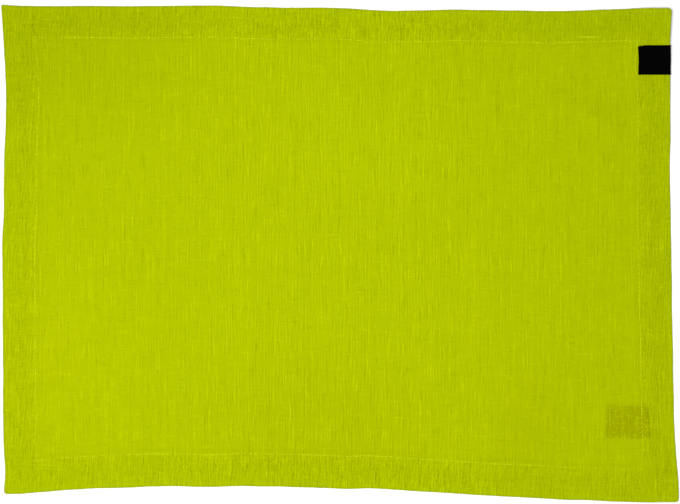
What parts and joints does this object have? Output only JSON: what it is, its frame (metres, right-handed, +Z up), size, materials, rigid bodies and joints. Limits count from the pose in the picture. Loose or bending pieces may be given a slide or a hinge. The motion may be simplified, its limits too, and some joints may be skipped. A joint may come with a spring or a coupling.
{
  "type": "fabric placemat",
  "caption": "Rectangular lime-green linen placemat lying flat, its hem turned under and stitched all round, with a plain black label folded over an edge and a care label underneath.",
  "frame": {"origin": "under the middle of the mat's outline, on the surface that it lies on", "axes": "+X along the long sides, towards the end with the labels; +Y towards the top edge, which the edge label is nearer to; +Z up out of the mat's right side"},
  "size_m": [0.4871, 0.3578, 0.0049],
  "materials": {
    "lime_linen": "plain-woven linen with slubs, matt",
    "black_ribbon": "close-woven black ribbon, faint sheen",
    "charcoal_ribbon": "thin woven satin tape, dull"
  },
  "bodies": {
    "root": {"mat_cloth": "lime_linen", "edge_label": "black_ribbon", "care_label": "charcoal_ribbon"}
  },
  "joints": []
}
